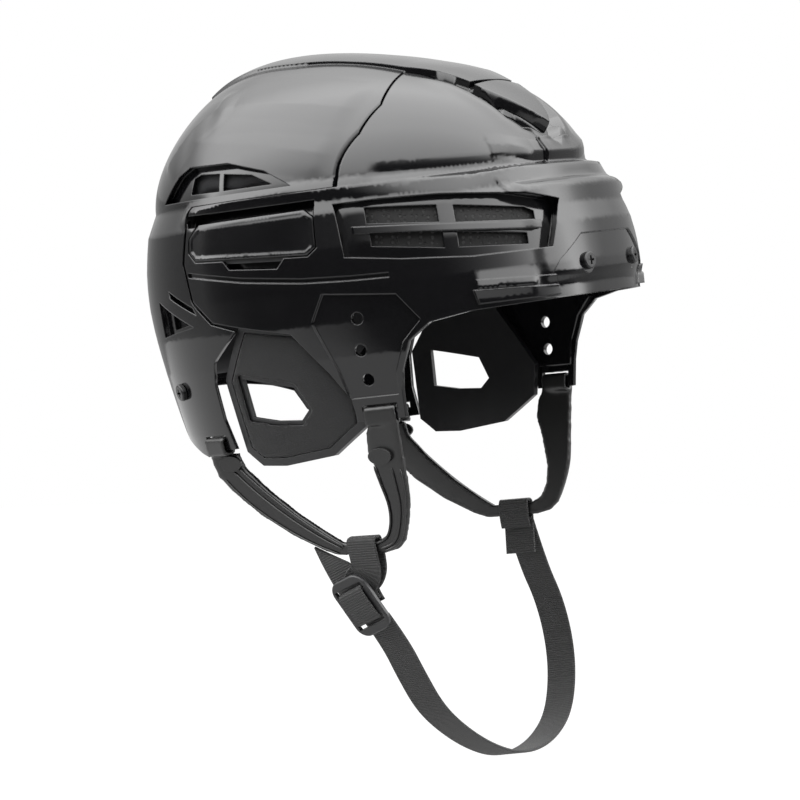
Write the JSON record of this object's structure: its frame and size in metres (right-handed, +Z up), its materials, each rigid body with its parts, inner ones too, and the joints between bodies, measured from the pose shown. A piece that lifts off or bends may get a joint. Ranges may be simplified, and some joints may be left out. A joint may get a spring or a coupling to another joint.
{
  "type": "ice hockey helmet",
  "caption": "Two-part hard shell helmet with foam liners, ear guards, size levers, chin slings and a webbing chin strap with a slide buckle.",
  "frame": {"origin": "centre of the head cavity, about at the level of the wearer's temples", "axes": "+X to the wearer's left, -Y to the front, +Z up the crown; at rest the shells are at the size in the picture and the levers are shut"},
  "size_m": [0.217, 0.2648, 0.3806],
  "materials": {
    "shell": "gloss",
    "moulded": "satin",
    "steel": "satin",
    "screw": "satin black",
    "felt": "felt",
    "foam": "closed-cell foam",
    "sling": "satin moulded rubber",
    "webbing": "woven"
  },
  "bodies": {
    "helmet": {"front_shell": "shell", "right_lever_base": "moulded", "left_lever_base": "moulded", "right_ear_guard": "moulded", "left_ear_guard": "moulded", "slide_buckle": "moulded", "right_lever_pin": "steel", "left_lever_pin": "steel", "front_tee_nuts": "steel", "front_screws": "screw", "front_washers": "screw", "right_ear_pad": "felt", "left_ear_pad": "felt", "right_vent_mesh": "foam", "left_vent_mesh": "foam", "right_temple_foam": "foam", "left_temple_foam": "foam", "forehead_foam": "foam", "crown_front_foam": "foam", "right_sling": "sling", "left_sling": "sling", "right_sling_front_button": "sling", "left_sling_front_button": "sling", "right_webbing": "webbing", "chin_webbing": "webbing", "buckle_fold": "webbing", "webbing_tail": "webbing"},
    "rear": {"rear_shell": "shell", "crown_rear_foam": "foam", "occipital_foam": "foam", "right_size_track": "shell", "left_size_track": "shell", "right_side_foam": "foam", "left_side_foam": "foam", "right_rear_foam": "foam", "left_rear_foam": "foam", "right_rear_screw": "screw", "left_rear_screw": "screw", "right_rear_tee_nut": "steel", "left_rear_tee_nut": "steel", "right_sling_rear_end": "sling", "left_sling_rear_end": "sling", "right_sling_rear_button": "sling", "left_sling_rear_button": "sling"},
    "right_lever": {"right_lever": "shell"},
    "left_lever": {"left_lever": "shell"}
  },
  "joints": [
    {"name": "shell_length_adjust", "type": "slide", "parent": "helmet", "child": "rear", "axis": [0, 1, 0], "range_m": [0, 0.01]},
    {"name": "right_lever_flip", "type": "hinge", "parent": "helmet", "child": "right_lever", "pos_m": [-0.10223, 0.01636, 0.0221], "axis": [0, 0.9903, -0.1392], "range_deg": [0, 75]},
    {"name": "left_lever_flip", "type": "hinge", "parent": "helmet", "child": "left_lever", "pos_m": [0.10223, 0.01636, 0.0221], "axis": [0, -0.9903, 0.1392], "range_deg": [0, 75]}
  ]
}
